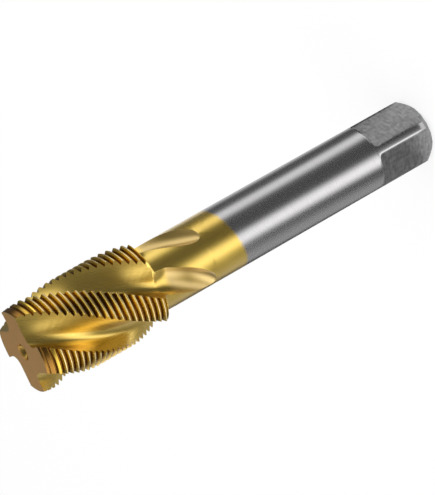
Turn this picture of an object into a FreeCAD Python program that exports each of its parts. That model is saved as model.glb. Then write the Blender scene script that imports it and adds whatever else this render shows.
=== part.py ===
import FreeCAD, Part
import math
import os
import Sketcher

# Spiral-flute machine tap, M22 x 1.5, right hand, ground from one bar of high-speed steel.
# It is built along X, with the tip face at x = 0 and a corner of the driving square towards +Y. Last it
# is stood on its square end, which lies on z = 0 with its centre at the origin: the tip is up, at
# z = overall_length, and the square's flats face +X, -X, +Y and -Y.

doc = FreeCAD.newDocument("spiral_flute_tap")

# Driving sizes, in millimetres and degrees
sheet = doc.addObject("Spreadsheet::Sheet", "Sizes")
DRIVING_SIZES = {
    "overall_length": 113,
    # thread
    "thread_diameter": 22,
    "thread_pitch": 1.5,
    "thread_angle": 60,
    "thread_crest": 0.3,
    "thread_length": 33,
    "thread_back_cone": 1.4,
    # lead at the tip, over which the teeth grow to full height
    "tip_diameter": 20,
    "lead_length": 4.5,
    # shank and driving square
    "shank_diameter": 16,
    "square_across_flats": 12.5,
    "square_length": 16,
    "shoulder_radius": 1,
    "end_chamfer": 1.75,
    # centre holes, 60 degree countersink and pilot, one in each end
    "centre_mouth_diameter": 4.2,
    "centre_pilot_diameter": 2,
    "centre_pilot_length": 2.5,
    "centre_angle": 60,
    "drill_point_angle": 120,
    # flutes, measured square to the axis
    "flute_count": 4,
    "flute_helix_angle": 35,
    "flute_first_edge": 1.5,
    "flute_core_diameter": 11.7,
    "flute_fillet_radius": 2.4,
    "flute_wall_lean": 9.5,
    # the run-out: behind the thread the fillet widens, then the flute lifts out on the wheel's arc
    "runout_fillet_radius": 4.5,
    "flute_widening_length": 3.3,
    "flute_full_length": 41.5,
    "flute_runout_radius": 12,
    # angle at which the thread groove starts at the tip
    "thread_start": 45,
}
for row, (alias, amount) in enumerate(DRIVING_SIZES.items(), start=1):
    sheet.set(f"A{row}", alias)
    sheet.set(f"B{row}", str(amount))
    sheet.setAlias(f"B{row}", alias)
doc.recompute()


AXIS = FreeCAD.Vector(1, 0, 0)
CENTRE = FreeCAD.Vector(0, 0, 0)


def size(alias):
    return float(sheet.get(alias))


def origin_feature(body, role):
    return next(item for item in body.Origin.OriginFeatures if item.Role == role)


def closed_sketch(body, name, plane, corners, arcs=None, turn=0):
    """A closed outline through corners, each an (x, y) pair of expressions on the sheet.

    arcs gives {index of a side: (radius expression, side its centre is on)}, +1 for left of travel.
    turn is the angle, in degrees about X, by which the sketch is turned from the plane.
    """
    arcs = arcs or {}
    sketch = body.newObject("Sketcher::SketchObject", name)
    sketch.AttachmentSupport = [(origin_feature(body, plane), "")]
    sketch.MapMode = "FlatFace"
    sketch.AttachmentOffset = FreeCAD.Placement(FreeCAD.Vector(), FreeCAD.Rotation(AXIS, turn))
    points = [
        FreeCAD.Vector(sketch.evalExpression(x), sketch.evalExpression(y), 0) for x, y in corners
    ]
    for side, start in enumerate(points):
        end = points[(side + 1) % len(points)]
        if side in arcs:
            radius = sketch.evalExpression(arcs[side][0])
            chord = end - start
            across = FreeCAD.Vector(-chord.y, chord.x, 0).normalize() * arcs[side][1]
            sag = radius - math.sqrt(radius**2 - (chord.Length / 2) ** 2)
            sketch.addGeometry(Part.Arc(start, start + chord / 2 - across * sag, end))
        else:
            sketch.addGeometry(Part.LineSegment(start, end))
    # which end of each side is its start: an arc drawn clockwise keeps its points the other way round
    first_end = []
    for side, start in enumerate(points):
        geometry = sketch.Geometry[side]
        first_end.append(1 if (geometry.StartPoint - start).Length < 1e-6 else 2)
    for side, (x, y) in enumerate(corners):
        start = (side, first_end[side])
        previous = (side - 1) % len(corners)
        sketch.addConstraint(
            Sketcher.Constraint("Coincident", previous, 3 - first_end[previous], *start)
        )
        for kind, expression, value in (("DistanceX", x, points[side].x), ("DistanceY", y, points[side].y)):
            if abs(value) < 1e-9:
                axis = -2 if kind == "DistanceX" else -1
                sketch.addConstraint(Sketcher.Constraint("PointOnObject", *start, axis))
                continue
            number = sketch.addConstraint(Sketcher.Constraint(kind, -1, 1, *start, value))
            sketch.setExpression(f"Constraints[{number}]", expression)
        if side in arcs:
            radius = sketch.evalExpression(arcs[side][0])
            number = sketch.addConstraint(Sketcher.Constraint("Radius", side, radius))
            sketch.setExpression(f"Constraints[{number}]", arcs[side][0])
    return sketch


# Turned blank: tip, lead, threaded head, back cone, neck and shank in one profile
body = doc.addObject("PartDesign::Body", "Blank")
TIP = "Sizes.tip_diameter / 2"
HEAD = "Sizes.thread_diameter / 2"
SHANK = "Sizes.shank_diameter / 2"
END = "Sizes.overall_length"
HEAD_END = "Sizes.thread_length - Sizes.thread_back_cone / 2"
NECK_START = "Sizes.thread_length + Sizes.thread_back_cone / 2"
turned = closed_sketch(
    body,
    "TurnedProfile",
    "XY_Plane",
    [
        ("0", "0"),
        (END, "0"),
        (END, f"{SHANK} - Sizes.end_chamfer"),
        (f"{END} - Sizes.end_chamfer", SHANK),
        (NECK_START, SHANK),
        (HEAD_END, HEAD),
        ("Sizes.lead_length", HEAD),
        ("0", TIP),
    ],
)
blank = body.newObject("PartDesign::Revolution", "TurnedBlank")
blank.Profile = turned
blank.ReferenceAxis = (turned, ["H_Axis"])
blank.Angle = 360
doc.recompute()

# Centre holes: the countersink and pilot that carry the tap between centres
MOUTH = "Sizes.centre_mouth_diameter / 2"
PILOT = "Sizes.centre_pilot_diameter / 2"
SINK = f"({MOUTH} - {PILOT}) / tan(Sizes.centre_angle * 1deg / 2)"
POINT = f"{PILOT} / tan(Sizes.drill_point_angle * 1deg / 2)"


def centre_hole(name, face, inward):
    """Cuts one centre hole into the end face at x = face, inward is + or -."""

    def at(depth):
        return f"{face} {inward} ({depth})"

    outline = closed_sketch(
        body,
        f"{name}Profile",
        "XY_Plane",
        [
            (face, "0"),
            (face, MOUTH),
            (at(SINK), PILOT),
            (at(f"{SINK} + Sizes.centre_pilot_length"), PILOT),
            (at(f"{SINK} + Sizes.centre_pilot_length + {POINT}"), "0"),
        ],
    )
    hole = body.newObject("PartDesign::Groove", name)
    hole.Profile = outline
    hole.ReferenceAxis = (outline, ["H_Axis"])
    hole.Angle = 360
    doc.recompute()


centre_hole("FrontCentre", "0", "+")
centre_hole("RearCentre", END, "-")

# Driving square: one flat, milled with a rounded inner corner at its shoulder, and three more by pattern
FLAT_FROM_CORNER = 45
FLAT = "Sizes.square_across_flats / 2"
SHOULDER = f"{END} - Sizes.square_length"
flat_outline = closed_sketch(
    body,
    "FlatProfile",
    "XZ_Plane",
    [
        (f"{SHOULDER} + Sizes.shoulder_radius", FLAT),
        (f"{END} + Sizes.end_chamfer", FLAT),
        (f"{END} + Sizes.end_chamfer", "Sizes.shank_diameter"),
        (SHOULDER, "Sizes.shank_diameter"),
        (SHOULDER, f"{FLAT} + Sizes.shoulder_radius"),
    ],
    arcs={4: ("Sizes.shoulder_radius", +1)},
    turn=FLAT_FROM_CORNER,
)
flat = body.newObject("PartDesign::Pocket", "Flat")
flat.Profile = flat_outline
flat.Midplane = True
flat.setExpression("Length", "Sizes.shank_diameter * 2")
doc.recompute()
square = body.newObject("PartDesign::PolarPattern", "Square")
square.Originals = [flat]
square.Axis = (origin_feature(body, "X_Axis"), [""])
square.Angle = 360
square.Occurrences = 4
body.Tip = square
doc.recompute()

# Flutes
# Each is lofted through its own section, which turns with the helix. Behind the thread its fillet
# widens, and past the full length it lifts off the core on the arc that the wheel leaves.
HEAD_RADIUS = size("thread_diameter") / 2
# how far past the bar the cutters reach, as parts of the head's radius and of the flute's depth
OUTSIDE = 1.3 * HEAD_RADIUS
LIFT_OUT = 1.4
SECTIONS = 20
RUNOUT_SECTIONS = 5
flute_lead = math.pi * size("thread_diameter") / math.tan(math.radians(size("flute_helix_angle")))
turn_per_mm = 360 / flute_lead
pitch_angle = 360 / size("flute_count")


def flute_section(fillet):
    """The flute square to the axis at x = 0, with its cutting face along +Y and the flute below it.

    fillet is the radius between the face and the other wall.
    Returns the section and the direction in which the fillet's centre lies from the axis.
    """
    lean = math.radians(size("flute_wall_lean"))
    reach = size("flute_core_diameter") / 2 + fillet
    centre = FreeCAD.Vector(0, math.sqrt(reach**2 - fillet**2), -fillet)
    face_foot = centre + FreeCAD.Vector(0, 0, fillet)
    wall_out = FreeCAD.Vector(0, math.cos(lean), math.sin(lean))
    wall_along = FreeCAD.Vector(0, math.sin(lean), -math.cos(lean))
    wall_foot = centre - wall_out * fillet
    mid_angle = math.radians(135) + lean / 2
    mid = centre + FreeCAD.Vector(0, math.cos(mid_angle), math.sin(mid_angle)) * fillet
    across = wall_foot.dot(wall_along)
    wall_length = math.sqrt(across**2 - wall_foot.dot(wall_foot) + OUTSIDE**2) - across
    heel = wall_foot + wall_along * wall_length
    lip = FreeCAD.Vector(0, OUTSIDE, 0)
    edges = [
        Part.LineSegment(lip, face_foot).toShape(),
        Part.Arc(face_foot, mid, wall_foot).toShape(),
        Part.LineSegment(wall_foot, heel).toShape(),
        Part.LineSegment(heel, lip).toShape(),
    ]
    return Part.Wire(edges), centre.normalize()


def flute_cutter():
    """One flute as a solid, its cutting face along +Y at the tip."""
    core_helix = math.atan(math.radians(turn_per_mm) * size("flute_core_diameter") / 2)
    depth = (size("shank_diameter") - size("flute_core_diameter")) / 2
    radius = size("flute_runout_radius")
    lift_end = LIFT_OUT * depth
    runout = math.sqrt(radius**2 - (radius - lift_end) ** 2)
    full = size("flute_full_length")
    narrow, wide = size("flute_fillet_radius"), size("runout_fillet_radius")
    ahead = size("thread_pitch")
    stations = [(full + ahead) * i / SECTIONS - ahead for i in range(SECTIONS + 1)]
    stations += [
        full + runout * math.cos(core_helix) * (i + 1) / RUNOUT_SECTIONS
        for i in range(RUNOUT_SECTIONS)
    ]
    wires = []
    for station in stations:
        travel = max(station - full, 0) / math.cos(core_helix)
        lift = radius - math.sqrt(radius**2 - travel**2)
        behind = (station - size("thread_length")) / size("flute_widening_length")
        wire, outward = flute_section(narrow + (wide - narrow) * min(max(behind, 0), 1))
        wire.translate(outward * lift)
        wire.rotate(CENTRE, AXIS, turn_per_mm * station)
        wire.translate(AXIS * station)
        wires.append(wire)
    return Part.makeLoft(wires, True, True)


cutter = flute_cutter()
flute_copies = []
for number in range(int(size("flute_count"))):
    copy = cutter.copy()
    copy.rotate(CENTRE, AXIS, size("flute_first_edge") + number * pitch_angle)
    flute_copies.append(copy)
flutes = doc.addObject("Part::Feature", "Flutes")
flutes.Shape = Part.makeCompound(flute_copies)

fluted = doc.addObject("Part::Cut", "FlutedBlank")
fluted.Base = body
fluted.Tool = flutes
doc.recompute()

# Thread
# The groove between the teeth is helical. Each land gets its own short length of it per turn,
# which starts in the flute before the land and ends in the flute behind it.
pitch = size("thread_pitch")
CREST_SHARE = 3
FLUTE_SHARE = 3


def groove_piece(span):
    """The thread groove over span degrees, its middle at +Y and x = 0."""
    slope = math.tan(math.radians(size("thread_angle")) / 2)
    crest = size("thread_crest")
    root = HEAD_RADIUS - (pitch - crest) / 2 / slope
    # past the crest, and not so far that it meets the groove of the next turn
    outer = HEAD_RADIUS + crest / CREST_SHARE / slope
    half_outer = (outer - root) * slope
    corners = [
        FreeCAD.Vector(root, 0, 0),
        FreeCAD.Vector(outer, 0, -half_outer),
        FreeCAD.Vector(outer, 0, half_outer),
    ]
    profile = Part.Wire(Part.makePolygon(corners + corners[:1]))
    sweep = Part.BRepOffsetAPI.MakePipeShell(Part.Wire(Part.makeHelix(pitch, pitch * span / 360, root)))
    sweep.setFrenetMode(True)
    sweep.add(profile, False, False)
    sweep.build()
    sweep.makeSolid()
    piece = sweep.shape()
    piece.translate(FreeCAD.Vector(0, 0, -pitch * span / 720))
    piece.rotate(CENTRE, FreeCAD.Vector(0, 0, 1), -span / 2)
    # from about Z to about X, with the middle going from +X to +Y
    piece.rotate(CENTRE, FreeCAD.Vector(1, 1, 1), 120)
    return piece


def land_width():
    """The angle that a land spans at the thread's crests, in degrees."""
    section, outward = flute_section(size("flute_fillet_radius"))
    wall = section.Edges[2]
    start = wall.Vertexes[0].Point
    along = (wall.Vertexes[1].Point - start).normalize()
    across = start.dot(along)
    heel = start + along * (math.sqrt(across**2 - start.dot(start) + HEAD_RADIUS**2) - across)
    return pitch_angle + math.degrees(math.atan2(heel.z, heel.y))


land = land_width()
flute_width = pitch_angle - land
piece = groove_piece(land + flute_width / FLUTE_SHARE)
turn_per_pitch = turn_per_mm * pitch
start = size("thread_start") / 360
# the lands wind back, so the first turns that reach a land at the tip have low numbers
last_angle = turn_per_mm * size("thread_length") + 360
first_turn = -math.ceil(last_angle / 360) - 1
last_turn = math.ceil(size("thread_length") / pitch) + 1
groove_copies = []
for number in range(int(size("flute_count"))):
    middle = size("flute_first_edge") + number * pitch_angle + land / 2
    for turn in range(first_turn, last_turn):
        # where the middle of this land meets this turn of the groove
        angle = (middle + turn_per_pitch * (turn - start)) / (1 - turn_per_pitch / 360)
        station = pitch * (angle / 360 - start + turn)
        if -pitch < station < size("thread_length") + pitch:
            copy = piece.copy()
            copy.rotate(CENTRE, AXIS, angle)
            copy.translate(AXIS * station)
            groove_copies.append(copy)
grooves = doc.addObject("Part::Feature", "ThreadGrooves")
grooves.Shape = Part.makeCompound(groove_copies)

tap = doc.addObject("Part::Cut", "Tap")
tap.Label = "tap"
tap.Base = fluted
tap.Tool = grooves
QUARTER_TURN = 90
stood_up = FreeCAD.Rotation(FreeCAD.Vector(0, 1, 0), QUARTER_TURN)
tap.Placement = FreeCAD.Placement(
    FreeCAD.Vector(0, 0, size("overall_length")),
    stood_up * FreeCAD.Rotation(AXIS, -FLAT_FROM_CORNER),
)
doc.recompute()

# Checks, then the file
for item in doc.Objects:
    if "Invalid" in item.State or "Error" in item.State:
        raise RuntimeError(f"{item.Name} failed: {item.State}")
steps = [blank.Shape.Volume, body.Shape.Volume, fluted.Shape.Volume, tap.Shape.Volume]
if steps != sorted(steps, reverse=True) or len(set(steps)) < len(steps):
    raise RuntimeError(f"a cut removed nothing: {steps}")
if tap.Shape.isNull() or not tap.Shape.isValid() or len(tap.Shape.Solids) != 1:
    raise RuntimeError("the tap isn't one valid solid")
os.makedirs("parts", exist_ok=True)
tap.Shape.exportStep(f"parts/{tap.Label}.step")
print("volumes", [round(volume) for volume in steps], "faces", len(tap.Shape.Faces))
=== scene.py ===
from math import acos, atan, atan2, ceil, cos, degrees, pi, radians, sin, sqrt, tan

import bmesh
import bpy
from mathutils import Matrix, Vector


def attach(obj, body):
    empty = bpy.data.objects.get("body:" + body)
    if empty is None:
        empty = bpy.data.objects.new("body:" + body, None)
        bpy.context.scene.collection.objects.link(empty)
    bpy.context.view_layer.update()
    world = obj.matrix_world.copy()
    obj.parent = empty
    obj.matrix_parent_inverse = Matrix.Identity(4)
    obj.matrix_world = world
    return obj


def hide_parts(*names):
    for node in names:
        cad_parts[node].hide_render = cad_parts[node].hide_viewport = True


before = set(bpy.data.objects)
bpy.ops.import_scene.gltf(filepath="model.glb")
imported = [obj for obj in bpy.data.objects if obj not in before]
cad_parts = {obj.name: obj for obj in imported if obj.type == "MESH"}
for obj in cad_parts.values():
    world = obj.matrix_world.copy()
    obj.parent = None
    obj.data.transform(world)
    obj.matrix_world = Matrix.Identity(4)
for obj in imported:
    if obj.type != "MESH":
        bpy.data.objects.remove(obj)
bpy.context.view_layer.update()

# The tap's sizes, in millimetres and degrees
LENGTH = 113
HEAD = 11
PITCH = 1.5
CREST = 0.3
THREAD = 33
BACK_CONE = 1.4
TIP = 10
LEAD = 4.5
SHANK = 8
FLAT = 6.25
SQUARE = 16
SHOULDER = 1
CHAMFER = 1.75
MOUTH = 2.1
PILOT = 1
PILOT_LENGTH = 2.5
THREAD_FLANK = 30
CENTRE_FLANK = 30
DRILL_FLANK = 60
HELIX = 35
FIRST_EDGE = 1.5
CORE = 5.85
FILLET = 2.4
WALL_LEAN = 9.5
RUNOUT_FILLET = 4.5
WIDENING = 3.3
FULL = 41.5
RUNOUT_RADIUS = 12
THREAD_START = 45
TURN = 360 * tan(radians(HELIX)) / (pi * 2 * HEAD)
ROOT = HEAD - (PITCH - CREST) / 2 / tan(radians(THREAD_FLANK))
LAND_PITCH = PITCH / (1 - PITCH * TURN / 360)
CORE_HELIX = atan(radians(TURN) * CORE)
LEAF_END = FULL + cos(CORE_HELIX) * sqrt(RUNOUT_RADIUS**2 - (RUNOUT_RADIUS - SHANK + CORE) ** 2)

# How finely the skin is divided: round a land, round a flute, and along one turn of the thread
LAND_STEPS = 8
FLUTE_STEPS = 16
QUARTER = LAND_STEPS + FLUTE_STEPS
TURN_STEPS = 16

# Rings along the rest of the tap, from the run-outs to the end chamfer
RUNOUT_RINGS = 34
BLEND_RINGS = 16
SHANK_RINGS = 18
CORNER_RINGS = 5
SHOULDER_RINGS = 8
SQUARE_RINGS = 10
CHAMFER_RINGS = 12
AFTER_THREAD = 0.35
BLEND_LENGTH = 6
CORNER_LENGTH = 3
CROWDING = 1.6

# The flute's line before it is cut to the bar
LINE_REACH = 12
LINE_STEPS = 60
FILLET_STEPS = 40

# Edges turning by more degrees than this look sharp; points nearer than this are merged
SHARP_TURN = 28
MERGE_DISTANCE = 0.002


def smooth(t):
    t = min(max(t, 0), 1)
    return t * t * (3 - 2 * t)


def bar_radius(station):
    """The turned bar, before the thread and flutes."""
    head_end = THREAD - BACK_CONE / 2
    if station < LEAD:
        return TIP + (HEAD - TIP) * max(station, 0) / LEAD
    if station < head_end:
        return HEAD
    if station < head_end + BACK_CONE:
        return HEAD - (HEAD - SHANK) * (station - head_end) / BACK_CONE
    return SHANK


def land_radius(station, land, angle):
    """The bar with the thread's groove, at an angle past the cutting edge of a land."""
    phase = station / LAND_PITCH - (FIRST_EDGE + angle - THREAD_START) / 360 - land / 4
    from_root = abs(phase - round(phase)) * PITCH
    return min(bar_radius(station), ROOT + from_root / tan(radians(THREAD_FLANK)))


def flute_line(station):
    """The flute square to the axis, from its leaning wall to its cutting face along +Y."""
    lean = radians(WALL_LEAN)
    fillet = FILLET + (RUNOUT_FILLET - FILLET) * min(max((station - THREAD) / WIDENING, 0), 1)
    travel = min(max(station - FULL, 0) / cos(CORE_HELIX), RUNOUT_RADIUS)
    lift = RUNOUT_RADIUS - sqrt(RUNOUT_RADIUS**2 - travel**2)
    reach = CORE + fillet
    centre = Vector((sqrt(reach**2 - fillet**2), -fillet))
    centre += centre.normalized() * lift
    wall_out = Vector((cos(lean), sin(lean)))
    wall_along = Vector((sin(lean), -cos(lean)))
    foot = centre - wall_out * fillet
    line = [foot + wall_along * (LINE_REACH * (1 - i / LINE_STEPS)) for i in range(LINE_STEPS)]
    for i in range(FILLET_STEPS + 1):
        turn = pi + lean + (pi / 2 - pi - lean) * i / FILLET_STEPS
        line.append(centre + Vector((cos(turn), sin(turn))) * fillet)
    foot = centre + Vector((0, fillet))
    line += [foot + Vector((LINE_REACH * (i + 1) / LINE_STEPS, 0)) for i in range(LINE_STEPS)]
    return line


def inside(line, radius):
    """The part of the line within the radius, or None."""
    kept = [i for i, point in enumerate(line) if point.length < radius]
    if not kept:
        return None
    ends = []
    for near, far in ((kept[0], kept[0] - 1), (kept[-1], kept[-1] + 1)):
        a, b = line[near], line[far]
        low, high = 0.0, 1.0
        for _ in range(24):
            middle = (low + high) / 2
            if a.lerp(b, middle).length < radius:
                low = middle
            else:
                high = middle
        ends.append(a.lerp(b, low))
    return [ends[0]] + [line[i] for i in kept] + [ends[1]]


def spaced(line, steps):
    """Points at even distances along the line."""
    lengths = [0]
    for a, b in zip(line, line[1:]):
        lengths.append(lengths[-1] + (b - a).length)
    points = []
    piece = 0
    for i in range(steps + 1):
        want = lengths[-1] * i / steps
        while piece < len(line) - 2 and lengths[piece + 1] < want:
            piece += 1
        span = lengths[piece + 1] - lengths[piece]
        share = (want - lengths[piece]) / span if span else 0
        points.append(line[piece].lerp(line[piece + 1], share))
    return points


def polar(radius, angle):
    return Vector((radius * cos(radians(angle)), radius * sin(radians(angle))))


def fluted_ring(station, sheared):
    """One ring of the fluted length: a (station, y, z) for each point round it."""
    line = flute_line(station)
    bar = bar_radius(station)
    inner = min(ROOT - 0.1, bar - 0.2)
    middle_line = inside(line, inner)
    leaf = degrees(atan2(-RUNOUT_FILLET, sqrt((CORE + RUNOUT_FILLET) ** 2 - RUNOUT_FILLET**2)))

    def edge(radius, end):
        cut = inside(line, radius)
        return degrees(atan2(cut[end].y, cut[end].x)) if cut else leaf

    land = 90 + edge(HEAD if station < THREAD else bar, 0)
    points = []
    for number in range(4):
        start = edge(land_radius(station, number, 0), -1)
        radius = land_radius(station, number, 0)
        heel = 90 + edge(radius, 0)
        for i in range(LAND_STEPS):
            angle = start + (heel - start) * i / LAND_STEPS
            slide = LAND_PITCH * angle / 360 if sheared else 0
            radius_here = land_radius(station + slide, number, angle)
            points.append((number, slide, polar(radius_here, angle)))
        slide = LAND_PITCH * heel / 360 if sheared else 0
        points.append((number, slide, polar(land_radius(station + slide, number, heel), heel)))
        if middle_line:
            bottom = spaced(middle_line, FLUTE_STEPS - 2)
        else:
            bottom = [polar(bar, leaf)] * (FLUTE_STEPS - 1)
        for i, point in enumerate(bottom):
            back = (1 - (i + 1) / FLUTE_STEPS) * land
            slide = LAND_PITCH * back / 360 if sheared else 0
            turned = Matrix.Rotation(pi / 2, 2) @ point
            points.append((number, slide, turned))
    ring = []
    for number, slide, point in points:
        along = station + slide
        turned = Matrix.Rotation(radians(FIRST_EDGE + 90 * number + TURN * along), 2) @ point
        ring.append((along, turned.x, turned.y))
    return ring


def ring_at(station, radius, angles):
    ring = []
    for angle in angles:
        point = polar(radius, angle)
        ring.append((station, point.x, point.y))
    return ring


def angles_of(ring):
    return [degrees(atan2(z, y)) for _, y, z in ring]


def square_angles(corner):
    """Angles round a ring whose four flats start that many degrees past the corners."""
    angles = []
    for number in range(4):
        for i in range(QUARTER):
            if i <= 2:
                angle = corner * i / 2
            elif i <= QUARTER - 2:
                angle = corner + (90 - 2 * corner) * (i - 2) / (QUARTER - 4)
            else:
                angle = 90 - corner * (QUARTER - i) / 2
            angles.append(180 + 90 * number + angle)
    return angles


def square_ring(station, radius, flat):
    """A ring of the square: round the corners, straight across the flats."""
    corner = 45 - degrees(acos(min(flat / radius, 1)))
    ring = []
    for angle in square_angles(corner):
        from_flat = (angle % 90) - 45
        reach = min(radius, flat / cos(radians(from_flat)))
        point = polar(reach, angle)
        ring.append((station, point.x, point.y))
    return ring


def tap_rings():
    """All rings from the bottom of the front centre hole round the outside to the rear one."""
    sink = (MOUTH - PILOT) / tan(radians(CENTRE_FLANK))
    point_depth = PILOT / tan(radians(DRILL_FLANK))
    tip = fluted_ring(0, False)
    tip_angles = angles_of(tip)
    hole = [
        (sink + PILOT_LENGTH + point_depth, 0.001),
        (sink + PILOT_LENGTH, PILOT),
        (sink, PILOT),
        (0, MOUTH),
    ]
    rings = [ring_at(station, radius, tip_angles) for station, radius in hole]
    mouth = rings[3]
    for share in (0.66, 0.33):
        ring = []
        for (_, y, z), (_, mouth_y, mouth_z) in zip(tip, mouth):
            ring.append((0, y + (mouth_y - y) * share, z + (mouth_z - z) * share))
        rings.append(ring)
    rings.append(tip)
    first = ceil(TURN_STEPS * (0.02 / LAND_PITCH + (THREAD_START - FIRST_EDGE) / 360))
    number = first
    while True:
        station = LAND_PITCH * (number / TURN_STEPS + (FIRST_EDGE - THREAD_START) / 360)
        if station > THREAD + BACK_CONE / 2 + 0.1:
            break
        rings.append(fluted_ring(station, True))
        number += 1
    for i in range(RUNOUT_RINGS):
        # closer together towards the leaf's blunt end
        share = 1 - (1 - (i + 1) / RUNOUT_RINGS) ** CROWDING
        length = LEAF_END - 0.001 - station - AFTER_THREAD
        rings.append(fluted_ring(station + AFTER_THREAD + length * share, False))
    rings_before_shank = len(rings)
    last = angles_of(rings[-1])
    even = square_angles(180 / QUARTER)
    for i in range(1, BLEND_RINGS + 1):
        share = i / BLEND_RINGS
        mixed = []
        for a, b in zip(last, even):
            step = (b - a + 180) % 360 - 180
            mixed.append(a + step * smooth(share))
        rings.append(ring_at(LEAF_END + BLEND_LENGTH * share, SHANK, mixed))
    square_start = LENGTH - SQUARE
    start = LEAF_END + BLEND_LENGTH
    for i in range(1, SHANK_RINGS + 1):
        length = square_start - CORNER_LENGTH - start
        rings.append(ring_at(start + length * i / SHANK_RINGS, SHANK, even))
    wide = 45 - degrees(acos((FLAT + SHOULDER) / SHANK))
    narrow = 180 / QUARTER
    for i in range(1, CORNER_RINGS + 1):
        share = i / CORNER_RINGS
        corner = narrow + (wide - narrow) * smooth(share)
        along = square_start - CORNER_LENGTH + CORNER_LENGTH * share
        rings.append(ring_at(along, SHANK, square_angles(corner)))
    rings_before_square = len(rings)
    for i in range(SHOULDER_RINGS + 1):
        turn = pi / 2 * i / SHOULDER_RINGS
        along = square_start + SHOULDER * (1 - cos(turn))
        rings.append(square_ring(along, SHANK, FLAT + SHOULDER * (1 - sin(turn))))
    for i in range(1, SQUARE_RINGS + 1):
        along = square_start + SHOULDER + (SQUARE - SHOULDER - CHAMFER) * i / SQUARE_RINGS
        rings.append(square_ring(along, SHANK, FLAT))
    rings_before_chamfer = len(rings)
    for i in range(1, CHAMFER_RINGS + 1):
        share = i / CHAMFER_RINGS
        radius = SHANK - CHAMFER * share + 1e-6
        rings.append(square_ring(LENGTH - CHAMFER * (1 - share), radius, FLAT))
    rings_before_end = len(rings)
    end_angles = angles_of(rings[-1])
    for radius in (5, 3.4, MOUTH):
        rings.append(ring_at(LENGTH, radius, end_angles))
    rings.append(ring_at(LENGTH - sink, PILOT, end_angles))
    rings.append(ring_at(LENGTH - sink - PILOT_LENGTH, PILOT, end_angles))
    rings.append(ring_at(LENGTH - sink - PILOT_LENGTH - point_depth, 0.001, end_angles))
    marks = {
        "tip": 6,
        "shank": rings_before_shank,
        "square": rings_before_square,
        "chamfer": rings_before_chamfer,
        "end": rings_before_end,
    }
    return rings, marks


TIP_FACE, THREADS, FLUTES, BODY, FLATS, REAR = range(6)


def build_tap():
    """A circle of points is carried along the axis, then each point moves to its own place."""
    rings, marks = tap_rings()
    mesh = bmesh.new()
    ring_layer = mesh.verts.layers.int.new("ring")
    point_layer = mesh.verts.layers.int.new("point")
    count = 4 * QUARTER
    made = bmesh.ops.create_circle(mesh, segments=count, radius=1)
    start = made["verts"]
    square_to_axis = Matrix(((0, 0, 1, 0), (1, 0, 0, 0), (0, 1, 0, 0), (0, 0, 0, 1)))
    bmesh.ops.transform(mesh, matrix=square_to_axis, verts=start)
    for vert in start:
        vert[point_layer] = round(degrees(atan2(vert.co.z, vert.co.y)) / 360 * count) % count
    bmesh.ops.spin(
        mesh,
        geom=start + list(mesh.edges),
        cent=(0, 0, 0),
        axis=(1, 0, 0),
        dvec=(1, 0, 0),
        angle=0,
        steps=len(rings) - 1,
        use_merge=False,
    )
    for vert in mesh.verts:
        vert[ring_layer] = round(vert.co.x)
        vert.co = rings[vert[ring_layer]][vert[point_layer]]
    for face in mesh.faces:
        ring = min(vert[ring_layer] for vert in face.verts)
        points = sorted(vert[point_layer] % QUARTER for vert in face.verts)
        point = points[0] if points[-1] - points[0] < 2 else QUARTER - 1
        if ring < marks["tip"]:
            face.material_index = TIP_FACE
        elif ring < marks["shank"] - 1:
            station = min(vert.co.x for vert in face.verts)
            if point >= LAND_STEPS:
                face.material_index = FLUTES
            else:
                face.material_index = THREADS if station < THREAD + BACK_CONE / 2 else BODY
        elif ring < marks["square"] - 1:
            face.material_index = BODY
        elif ring < marks["chamfer"] - 1:
            face.material_index = FLATS if 2 <= point < QUARTER - 2 else BODY
        else:
            face.material_index = REAR
        face.smooth = not 3 <= ring < marks["tip"]
    for edge in mesh.edges:
        a, b = edge.verts
        same = a[point_layer] == b[point_layer]
        land_edge = same and a[point_layer] % QUARTER in (0, LAND_STEPS)
        fluted = marks["tip"] <= min(a[ring_layer], b[ring_layer]) < marks["shank"] - 3
        tip_outline = a[ring_layer] == b[ring_layer] and a[ring_layer] in (3, marks["tip"])
        sharp = edge.calc_face_angle(0) > radians(SHARP_TURN)
        edge.smooth = not (sharp or tip_outline or (land_edge and fluted))
    bmesh.ops.remove_doubles(mesh, verts=mesh.verts, dist=MERGE_DISTANCE)
    stood_up = Matrix.Translation((0, 0, LENGTH)) @ Matrix.Rotation(radians(90), 4, "Y")
    flat_to_side = Matrix.Rotation(radians(-45), 4, "X")
    place = Matrix.Diagonal((0.001, 0.001, 0.001, 1)) @ stood_up @ flat_to_side
    bmesh.ops.transform(mesh, matrix=place, verts=mesh.verts)
    bmesh.ops.recalc_face_normals(mesh, faces=mesh.faces)
    data = bpy.data.meshes.new("tap_dressed")
    mesh.to_mesh(data)
    mesh.free()
    return data


class Socket:
    """A shader value that can be worked with as a number."""

    def __init__(self, shader, link):
        self.shader = shader
        self.link = link

    def _math(self, operation, *values):
        return self.shader.node("ShaderNodeMath", {"operation": operation}, *values)

    def __add__(self, other):
        return self._math("ADD", self, other)

    __radd__ = __add__

    def __sub__(self, other):
        return self._math("SUBTRACT", self, other)

    def __rsub__(self, other):
        return self._math("SUBTRACT", other, self)

    def __mul__(self, other):
        return self._math("MULTIPLY", self, other)

    __rmul__ = __mul__

    def __truediv__(self, other):
        return self._math("DIVIDE", self, other)

    def power(self, other):
        return self._math("POWER", self, other)

    def clamped(self):
        return self._math("MINIMUM", self._math("MAXIMUM", self, 0.0), 1.0)


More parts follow.
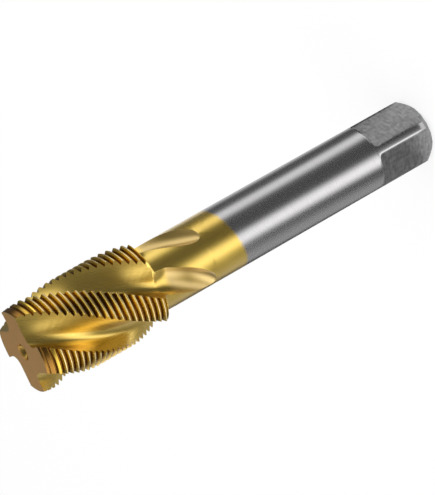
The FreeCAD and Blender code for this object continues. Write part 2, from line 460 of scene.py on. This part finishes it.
class Finish:
    """One material, with its Principled shader and the object's own coordinates."""

    def __init__(self, name):
        self.material = bpy.data.materials.new(name)
        self.material.use_nodes = True
        self.tree = self.material.node_tree
        self.shader = self.tree.nodes["Principled BSDF"]
        place = self.tree.nodes.new("ShaderNodeTexCoord")
        self.place = Socket(self, place.outputs["Object"])

    def node(self, kind, settings=None, *values, out=0, **named):
        """Adds a node, sets it, feeds its sockets in order or by name, and returns one output."""
        made = self.tree.nodes.new(kind)
        for key, value in (settings or {}).items():
            if key == "stops":
                ramp = made.color_ramp
                for stop, (position, colour) in enumerate(value):
                    if stop < len(ramp.elements):
                        element = ramp.elements[stop]
                    else:
                        element = ramp.elements.new(position)
                    element.position = position
                    element.color = (*colour, 1)
            else:
                setattr(made, key, value)
        for key, value in [*enumerate(values), *named.items()]:
            self.feed(made.inputs[key], value)
        return Socket(self, made.outputs[out])

    def feed(self, socket, value):
        if isinstance(value, Socket):
            self.tree.links.new(value.link, socket)
        else:
            socket.default_value = value

    def set(self, **sockets):
        for name, value in sockets.items():
            self.feed(self.shader.inputs[name.replace("_", " ")], value)
        return self.material

    def axes(self):
        """x, y and z of the object's coordinates, in millimetres."""
        split = self.tree.nodes.new("ShaderNodeSeparateXYZ")
        self.tree.links.new(self.place.link, split.inputs[0])
        return [Socket(self, output) * 1000 for output in split.outputs]

    def noise(self, scale, detail=2.0, place=None):
        """Noise about 0.5, at a scale in cycles per metre."""
        settings = {"noise_dimensions": "3D"}
        where = place or self.place
        return self.node("ShaderNodeTexNoise", settings, Vector=where, Scale=scale, Detail=detail)

    def stretched(self, sizes, place=None):
        settings = {"vector_type": "POINT"}
        return self.node("ShaderNodeMapping", settings, Vector=place or self.place, Scale=sizes)

    def bump(self, height, strength, distance):
        return self.node("ShaderNodeBump", {}, Strength=strength, Distance=distance, Height=height)


def mix_colours(finish, share, a, b):
    made = finish.tree.nodes.new("ShaderNodeMix")
    made.data_type = "RGBA"
    finish.feed(made.inputs[0], share)
    finish.feed(made.inputs[6], a if isinstance(a, Socket) else (*a, 1))
    finish.feed(made.inputs[7], b if isinstance(b, Socket) else (*b, 1))
    return Socket(finish, made.outputs[2])


# How far the coat reaches from the tip, how its edge slants, and the sheen over the gold
COAT_LENGTH = 55.2
COAT_SLANT = (0.124, 0.155)
COAT_RAGGED = 1.2
SHEEN_IOR = 1.7
SHEEN_ROUGHNESS = 0.25

GOLD = (0.93, 0.66, 0.11)
GOLD_DEEP = (0.86, 0.57, 0.07)
GOLD_DULL = (0.56, 0.39, 0.12)
# Pale gold for a painted highlight on the thread crests
CREST_HIGHLIGHT_GOLD = (0.92, 0.76, 0.50)
# The brown is painted shade in the thread grooves, and the real colour of the flutes' wheel marks
SHADE_AND_MARKS_BROWN = (0.24, 0.11, 0.025)
HOLE_GOLD = (0.55, 0.36, 0.09)
BRONZE = (0.75, 0.42, 0.12)
BRONZE_DARK = (0.66, 0.37, 0.10)
STEEL = (0.57, 0.56, 0.56)
STEEL_DARK = (0.50, 0.49, 0.495)
MILLED = (0.40, 0.40, 0.405)
MILLED_DARK = (0.22, 0.22, 0.225)


def coated_tip():
    """The ground tip face: dull bronze, brighter round its rim and inside the centre hole."""
    finish = Finish("coated_tip")
    x, y, z = finish.axes()
    radius = (x * x + y * y).power(0.5)
    in_hole = ((LENGTH - 0.15 - z) / 0.3).clamped()
    rim = ((radius - (TIP - 0.7)) / 0.5).clamped()
    turned = finish.noise(1.0, 3.0, finish.stretched((1800.0, 1800.0, 400.0)))
    cloud = finish.noise(420.0)
    colour = mix_colours(finish, cloud, BRONZE, BRONZE_DARK)
    colour = mix_colours(finish, rim * 0.5, colour, GOLD_DULL)
    colour = mix_colours(finish, in_hole, colour, HOLE_GOLD)
    return finish.set(
        Base_Color=colour,
        Metallic=1.0,
        Roughness=0.46 + (turned - 0.5) * 0.16 - in_hole * 0.2,
        Normal=finish.bump(turned, 0.12, 0.00003),
    )


def coated_lands():
    """Thread and lead: gold, with a painted highlight making the ground crests paler and painted
    shade making the grooves browner.
    """
    finish = Finish("coated_lands")
    x, y, z = finish.axes()
    radius = (x * x + y * y).power(0.5)
    on_thread = z - (LENGTH - THREAD)
    crest = ((radius - (HEAD - 0.09)) / 0.06).clamped() * on_thread.clamped()
    groove = ((HEAD - 0.15 - radius) / 0.5).clamped() * on_thread.clamped()
    cloud = finish.noise(260.0)
    fine = finish.noise(3200.0)
    colour = mix_colours(finish, cloud, GOLD, GOLD_DEEP)
    # Painted shade: the thread grooves are mixed towards brown
    colour = mix_colours(finish, groove * 0.95, colour, SHADE_AND_MARKS_BROWN)
    # Painted highlight: the thread crests are mixed towards pale gold
    colour = mix_colours(finish, crest * (0.3 + fine * 0.5), colour, CREST_HIGHLIGHT_GOLD)
    return finish.set(
        Base_Color=colour,
        Metallic=1.0,
        Roughness=0.27 + crest * 0.1 + (fine - 0.5) * 0.1,
        Normal=finish.bump(fine, 0.06, 0.00002),
    )


def coated_flutes():
    """Flutes: polished gold with fine wheel marks along the helix, duller in the run-outs."""
    finish = Finish("coated_flutes")
    x, y, z = finish.axes()
    runout = ((LENGTH - THREAD - 2.5 - z) / 1.5).clamped()
    straightened = finish.node(
        "ShaderNodeVectorRotate",
        {"rotation_type": "Z_AXIS"},
        Vector=finish.place,
        Angle=z * -radians(TURN),
    )
    marks = finish.noise(1.0, 3.0, finish.stretched((2600.0, 2600.0, 60.0), straightened))
    cloud = finish.noise(180.0)
    colour = mix_colours(finish, cloud, GOLD, GOLD_DEEP)
    colour = mix_colours(finish, marks * 0.15, colour, SHADE_AND_MARKS_BROWN)
    colour = mix_colours(finish, runout * 0.75, colour, GOLD_DULL)
    return finish.set(
        Base_Color=colour,
        Metallic=1.0,
        Roughness=0.29 + runout * 0.12 + (marks - 0.5) * 0.12,
        Coat_Weight=1.0,
        Coat_IOR=SHEEN_IOR,
        Coat_Roughness=SHEEN_ROUGHNESS,
        Normal=finish.bump(marks, 0.08, 0.00002),
    )


def ground_shank():
    """The round shank, ground all over, with the coat's ragged edge where it was dipped."""
    finish = Finish("ground_shank")
    x, y, z = finish.axes()
    ragged = finish.noise(900.0)
    slant = y * COAT_SLANT[1] + x * COAT_SLANT[0]
    edge = LENGTH - COAT_LENGTH + slant + (ragged - 0.5) * COAT_RAGGED
    coat = ((z - edge) / 0.9 + 0.5).clamped()
    lines = finish.noise(1.0, 3.0, finish.stretched((220.0, 220.0, 4000.0)))
    grain = finish.noise(1700.0, 4.0)
    cloud = finish.noise(200.0)
    steel = mix_colours(finish, grain * 0.5 + lines * 0.5, STEEL, STEEL_DARK)
    gold = mix_colours(finish, cloud, GOLD, GOLD_DEEP)
    colour = mix_colours(finish, coat, steel, gold)
    return finish.set(
        Base_Color=colour,
        Metallic=1.0,
        Roughness=0.27 + coat * 0.05 + (lines - 0.5) * 0.06 + (grain - 0.5) * 0.03,
        Coat_Weight=coat,
        Coat_IOR=SHEEN_IOR,
        Coat_Roughness=SHEEN_ROUGHNESS,
        Normal=finish.bump(lines, 0.01, 0.00002),
    )


def milled_flats():
    """The square's flats and end: coarse, speckled mill marks."""
    finish = Finish("milled_flats")
    grain = finish.noise(1000.0, 3.0)
    streaks = finish.noise(1.0, 2.0, finish.stretched((350.0, 350.0, 1700.0)))
    speckle = (grain * 1.9 + streaks * 1.3 - 1.2).clamped()
    colour = mix_colours(finish, speckle, MILLED_DARK, MILLED)
    return finish.set(
        Base_Color=colour,
        Metallic=1.0,
        Roughness=0.42 + (streaks - 0.5) * 0.2,
        Normal=finish.bump(speckle, 0.5, 0.00008),
    )


tap = bpy.data.objects.new("tap_dressed", build_tap())
bpy.context.scene.collection.objects.link(tap)
lands = coated_lands()
shank = ground_shank()
flats = milled_flats()
for material in (coated_tip(), lands, coated_flutes(), shank, flats, flats):
    tap.data.materials.append(material)
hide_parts("tap")
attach(tap, "root")


def staged(name, mesh, material):
    """A piece of the studio, which isn't part of the tap."""
    data = bpy.data.meshes.new(name)
    mesh.to_mesh(data)
    mesh.free()
    data.materials.append(material)
    made = bpy.data.objects.new(name, data)
    bpy.context.scene.collection.objects.link(made)
    return made


SEEING_RAYS = ("Is Camera Ray", "Is Glossy Ray", "Is Transmission Ray")


def seen_as_white(finish, share):
    """Mixes plain white over a surface for rays that see it directly, in metal or through glass."""
    path = finish.tree.nodes.new("ShaderNodeLightPath")
    seen = [Socket(finish, path.outputs[name]) for name in SEEING_RAYS]
    glow = finish.node("ShaderNodeEmission", {}, Color=(1, 1, 1, 1), Strength=1.0)
    mixed = finish.tree.nodes.new("ShaderNodeMixShader")
    finish.feed(mixed.inputs[0], (seen[0] + seen[1] + seen[2]).clamped() * share)
    finish.tree.links.new(finish.shader.outputs[0], mixed.inputs[1])
    finish.tree.links.new(glow.link, mixed.inputs[2])
    finish.tree.links.new(mixed.outputs[0], finish.tree.nodes["Material Output"].inputs["Surface"])
    return finish.material


# White floor, which keeps a soft shadow
paper = Finish("white_paper")
paper.set(Base_Color=(0.9, 0.9, 0.9, 1), Roughness=0.9)
floor_mesh = bmesh.new()
bmesh.ops.create_grid(floor_mesh, x_segments=1, y_segments=1, size=3)
bmesh.ops.translate(floor_mesh, vec=(0, 0, -0.00005), verts=floor_mesh.verts)
staged("floor", floor_mesh, seen_as_white(paper, 0.8))

# A tent of card round the tap, which only its reflections see, so that they don't see the floor.
# Light comes through soft strips in it: an angle round the tap's axis and a half width, both in
# degrees, and a brightness. Further out the strips lean round the axis, widen and brighten.
STRIPS = [(-73, 26, 1.7), (27, 22, 1.2), (112, 32, 0.8), (-156, 44, 0.44)]
LEAN = 46
WIDENING_SHARE = 0.55
OUTER_GAIN = 0.35
CARD = 0.10
ROOF = 0.2
EVEN_SHARE = 0.3
STRIP_TOP = 200
STRIP_FADE = 130
INNER_RADIUS = 150
OUTWARD_SPAN = 300
BRIGHTEST = 3
RAMP_RANGE = 2
tent = Finish("card_with_light_strips")
stops = []
for azimuth, half_width, brightness in STRIPS:
    levels = (CARD, brightness, brightness, CARD)
    for offset, level in zip((-1, -EVEN_SHARE, EVEN_SHARE, 1), levels):
        position = ((azimuth + offset * half_width) / 360 + 0.5) % 1
        stops.append((position, (level / RAMP_RANGE,) * 3))
x, y, z = tent.axes()
azimuth = tent.node("ShaderNodeMath", {"operation": "ARCTAN2"}, y, x) / (2 * pi)
outward = (((x * x + y * y).power(0.5) - INNER_RADIUS) / OUTWARD_SPAN).clamped()
main = STRIPS[0][0] / 360
from_main = azimuth - main + outward * (LEAN / 360)
around = from_main / (outward * WIDENING_SHARE + 1) + (main + 0.5)
around = tent.node("ShaderNodeMath", {"operation": "FRACT"}, around)
ramp = tent.node("ShaderNodeValToRGB", {"stops": sorted(stops)}, around)
limit = BRIGHTEST - ((z - STRIP_TOP) / STRIP_FADE).clamped() * (BRIGHTEST - ROOF)
strips = ramp * RAMP_RANGE * (outward * OUTER_GAIN + 1)
level = tent.node("ShaderNodeMath", {"operation": "MINIMUM"}, strips, limit)
glow = tent.node("ShaderNodeEmission", {}, Color=(1, 1, 1, 1), Strength=level)
tent.tree.links.new(glow.link, tent.tree.nodes["Material Output"].inputs["Surface"])
TENT_PROFILE = [
    (0.012, 0.0003),
    (0.30, 0.0003),
    (0.42, 0.03),
    (0.48, 0.10),
    (0.50, 0.20),
    (0.50, 0.70),
    (0.15, 0.90),
    (0.001, 0.95),
]
tent_mesh = bmesh.new()
for radius, height in TENT_PROFILE:
    tent_mesh.verts.new((radius, 0, height))
tent_mesh.verts.ensure_lookup_table()
for i in range(len(TENT_PROFILE) - 1):
    tent_mesh.edges.new((tent_mesh.verts[i], tent_mesh.verts[i + 1]))
bmesh.ops.spin(
    tent_mesh,
    geom=list(tent_mesh.verts) + list(tent_mesh.edges),
    cent=(0, 0, 0),
    axis=(0, 0, 1),
    angle=2 * pi,
    steps=72,
    use_merge=True,
)
card = staged("reflected_tent", tent_mesh, tent.material)
card.visible_camera = False
card.visible_diffuse = False
card.visible_shadow = False
tent.material.cycles.emission_sampling = "NONE"

world = bpy.data.worlds.new("studio")
bpy.context.scene.world = world
world.use_nodes = True
sky = world.node_tree.nodes["Background"]
sky.inputs["Color"].default_value = (1, 1, 1, 1)
# Plain white where it is seen, a little less as light
WORLD_LIGHT = 0.9
path = world.node_tree.nodes.new("ShaderNodeLightPath")
seen = path.outputs[SEEING_RAYS[0]]
for name in SEEING_RAYS[1:]:
    either = world.node_tree.nodes.new("ShaderNodeMath")
    either.operation = "MAXIMUM"
    world.node_tree.links.new(seen, either.inputs[0])
    world.node_tree.links.new(path.outputs[name], either.inputs[1])
    seen = either.outputs[0]
level = world.node_tree.nodes.new("ShaderNodeMath")
level.operation = "MULTIPLY_ADD"
world.node_tree.links.new(seen, level.inputs[0])
level.inputs[1].default_value = 1 - WORLD_LIGHT
level.inputs[2].default_value = WORLD_LIGHT
world.node_tree.links.new(level.outputs[0], sky.inputs["Strength"])


def lamp(name, azimuth, elevation, distance, size_x, size_y, power):
    """A soft area lamp aimed at the middle of the tap."""
    middle = Vector((0, 0, LENGTH / 2000))
    data = bpy.data.lights.new(name, "AREA")
    data.shape = "RECTANGLE"
    data.size = size_x
    data.size_y = size_y
    data.energy = power
    made = bpy.data.objects.new(name, data)
    out = cos(radians(elevation)) * distance
    up = sin(radians(elevation)) * distance
    away = Vector((out * cos(radians(azimuth)), out * sin(radians(azimuth)), up))
    made.location = middle + away
    made.rotation_euler = (-away).to_track_quat("-Z", "Y").to_euler()
    bpy.context.scene.collection.objects.link(made)


lamp("key", -72, 68, 0.8, 0.5, 0.5, 1.5)
lamp("fill", 31, 68, 0.8, 0.5, 0.5, 1)

# The photograph's own viewpoint, fitted with the tap level and then stood up with it. Its focal
# length is in pixels of a frame whose longer side takes the sensor's width.
FOCAL_LENGTH = 2800
LONGER_SIDE = 495
SENSOR = 36
camera_data = bpy.data.cameras.new("camera")
camera_data.sensor_width = SENSOR
camera_data.lens = SENSOR * FOCAL_LENGTH / LONGER_SIDE
camera_data.clip_start = 0.01
camera = bpy.data.objects.new("camera", camera_data)
bpy.context.scene.collection.objects.link(camera)
camera.matrix_world = (
    Matrix.Translation((0, 0, 0.0565))
    @ Matrix.Rotation(radians(90), 4, "Y")
    @ Matrix.Translation((-0.254571, -0.408750, 0.427734))
    @ Matrix.Rotation(radians(-36.5432), 4, "Z")
    @ Matrix.Rotation(radians(5.4535), 4, "Y")
    @ Matrix.Rotation(radians(47.9562), 4, "X")
)
bpy.context.scene.camera = camera
bpy.context.scene.view_settings.view_transform = "Standard"

bpy.context.view_layer.update()
